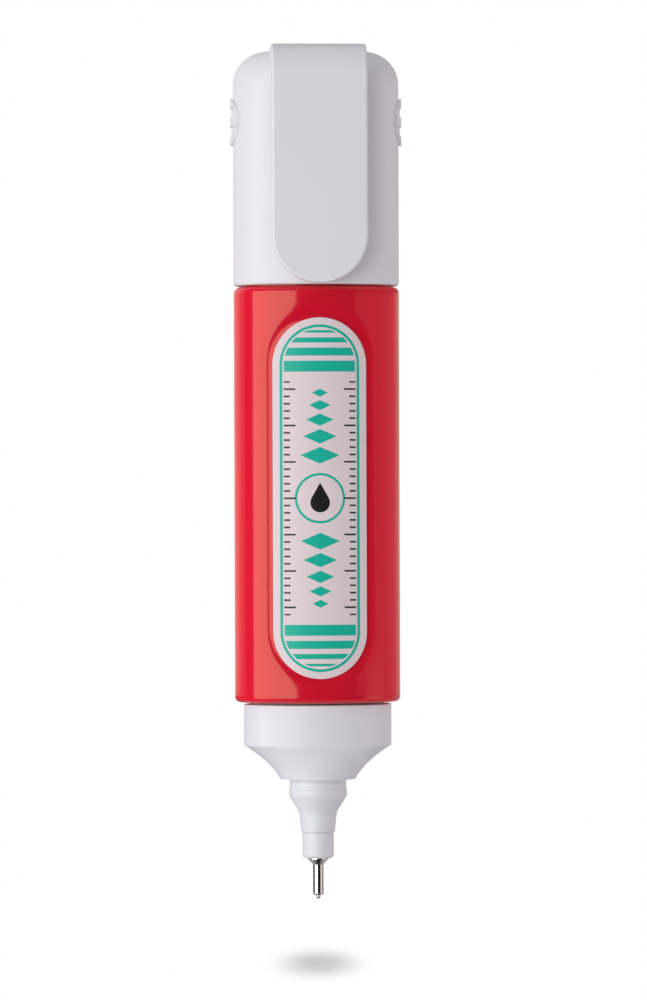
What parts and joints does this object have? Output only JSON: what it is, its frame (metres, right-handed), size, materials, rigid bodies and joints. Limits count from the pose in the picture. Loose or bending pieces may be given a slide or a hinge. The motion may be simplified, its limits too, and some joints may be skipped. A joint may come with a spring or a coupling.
{
  "type": "correction pen",
  "caption": "Oval squeeze-bottle correction pen with a spring-valve metal tip, a flared nozzle and a clip cap posted on its rear end.",
  "frame": {"origin": "end of the needle, where the pen meets the paper, on the pen's axis", "axes": "+Z along the pen from the tip to the cap, -Y to the front with the label and the clip, +X to the right of the front"},
  "size_m": [0.0238, 0.0191, 0.1182],
  "materials": {
    "bottle_plastic": "glossy red",
    "label_film": "satin printed film",
    "white_plastic": "satin white",
    "cap_plastic": "satin white",
    "tip_metal": "polished",
    "needle_steel": "ground",
    "valve_plastic": "natural",
    "spring_steel": "drawn wire",
    "ball_steel": "polished",
    "liner_plastic": "natural, soft"
  },
  "bodies": {
    "pen": {"bottle": "bottle_plastic", "front_label": "label_film", "nozzle_collar": "white_plastic", "tip_holder": "white_plastic", "metal_tip": "tip_metal", "spring_stop": "valve_plastic", "valve_spring": "spring_steel"},
    "cap": {"cap": "cap_plastic", "cap_liner": "liner_plastic"},
    "needle": {"valve_needle": "needle_steel", "needle_plunger": "valve_plastic"},
    "ball": {"mixing_ball": "ball_steel"}
  },
  "joints": [
    {"name": "cap_pull", "type": "slide", "parent": "pen", "child": "cap", "axis": [0, 0, 1], "range_m": [0, 0.04]},
    {"name": "needle_press", "type": "slide", "parent": "pen", "child": "needle", "axis": [0, 0, 1], "range_m": [0, 0.0004], "stiffness_N_per_m": 200, "springref_m": -0.002, "deforming": ["valve_spring"]},
    {"name": "ball_rattle", "type": "slide", "parent": "pen", "child": "ball", "axis": [0, 0, 1], "range_m": [0, 0.0648]}
  ]
}
